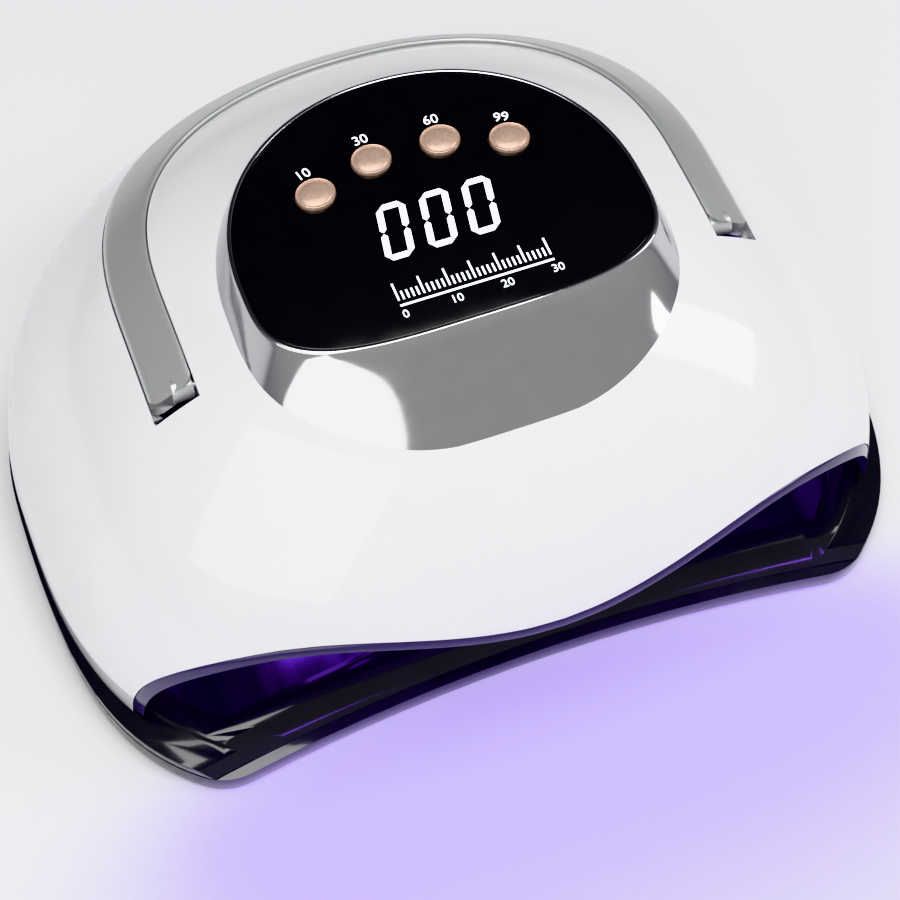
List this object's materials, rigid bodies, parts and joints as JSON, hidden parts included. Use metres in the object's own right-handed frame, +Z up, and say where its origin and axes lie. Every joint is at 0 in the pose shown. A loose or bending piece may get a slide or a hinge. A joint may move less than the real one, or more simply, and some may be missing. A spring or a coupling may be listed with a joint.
{
  "type": "uv led nail lamp",
  "caption": "Domed desk lamp that cures nail gel: wide front hand opening, black display panel with timer keys, fold-up carry handle and loose magnetic floor plate.",
  "frame": {"origin": "centre of the bounding box at the table, z = 0 on the underside of the rubber feet", "axes": "+X to the user's right, the hand opening faces -Y, +Z up"},
  "size_m": [0.2401, 0.2008, 0.1041],
  "materials": {
    "white_gloss": "high gloss moulded plastic",
    "black_gloss": "satin-gloss moulded plastic",
    "liner_gloss": "dark glossy moulded plastic",
    "black_matte": "matt moulded plastic",
    "floor_sheet": "polished reflector sheet",
    "rubber": "soft matt",
    "magnet": "nickel plated",
    "steel": "zinc plated",
    "light_board": "white solder mask on aluminium",
    "violet_lens": "clear domed lens over a violet chip",
    "circuit_green": "glass-fibre board",
    "brass_post": "turned",
    "can_metal": "satin",
    "coil_copper": "enamelled winding",
    "bezel_chrome": "smoked chrome plating",
    "panel_black": "black polished acrylic",
    "display_white": "lit white digits behind a diffuser",
    "ribbon_grey": "flat ribbon",
    "handle_silver": "silver-grey satin lacquer",
    "rose_gold": "rose-gold satin plating"
  },
  "bodies": {
    "base": {"base_plate": "black_gloss", "floor_mirror": "floor_sheet", "rubber_feet": "rubber", "base_magnets": "magnet"},
    "housing": {"lower_frame": "black_gloss", "housing_magnets": "magnet", "case_screws": "steel", "upper_shell": "white_gloss", "hinge_pins": "steel", "chamber_liner": "liner_gloss", "roof_led_board": "light_board", "roof_led_lenses": "violet_lens", "left_led_board": "light_board", "left_led_lenses": "violet_lens", "right_led_board": "light_board", "right_led_lenses": "violet_lens", "rear_led_board": "light_board", "rear_led_lenses": "violet_lens", "hand_sensor": "black_matte", "power_board": "circuit_green", "board_standoffs": "brass_post", "board_screws": "steel", "capacitors": "can_metal", "power_coils": "coil_copper", "heat_sink": "can_metal", "dc_inlet": "black_matte", "display_bezel": "bezel_chrome", "bezel_screws": "steel", "display_window": "panel_black", "display_board": "circuit_green", "digit_module": "display_white", "display_posts": "black_matte", "key_switches": "black_matte", "ribbon_cable": "ribbon_grey"},
    "carry_handle": {"carry_handle": "handle_silver"},
    "timer_key_1": {"timer_key_1": "rose_gold", "key_plunger_1": "black_matte"},
    "timer_key_2": {"timer_key_2": "rose_gold", "key_plunger_2": "black_matte"},
    "timer_key_3": {"timer_key_3": "rose_gold", "key_plunger_3": "black_matte"},
    "timer_key_4": {"timer_key_4": "rose_gold", "key_plunger_4": "black_matte"}
  },
  "joints": [
    {"name": "housing_lift", "type": "slide", "parent": "base", "child": "housing", "axis": [0, 0, 1], "range_m": [0, 0.06]},
    {"name": "handle_hinge", "type": "hinge", "parent": "housing", "child": "carry_handle", "pos_m": [0, -0.023, 0.083], "axis": [1, 0, 0], "range_deg": [0, 75]},
    {"name": "key_1_press", "type": "slide", "parent": "housing", "child": "timer_key_1", "axis": [0, 0, -1], "range_m": [0, 0.0007], "stiffness_N_per_m": 900, "springref_m": -0.0006},
    {"name": "key_2_press", "type": "slide", "parent": "housing", "child": "timer_key_2", "axis": [0, 0, -1], "range_m": [0, 0.0007], "stiffness_N_per_m": 900, "springref_m": -0.0006},
    {"name": "key_3_press", "type": "slide", "parent": "housing", "child": "timer_key_3", "axis": [0, 0, -1], "range_m": [0, 0.0007], "stiffness_N_per_m": 900, "springref_m": -0.0006},
    {"name": "key_4_press", "type": "slide", "parent": "housing", "child": "timer_key_4", "axis": [0, 0, -1], "range_m": [0, 0.0007], "stiffness_N_per_m": 900, "springref_m": -0.0006}
  ]
}
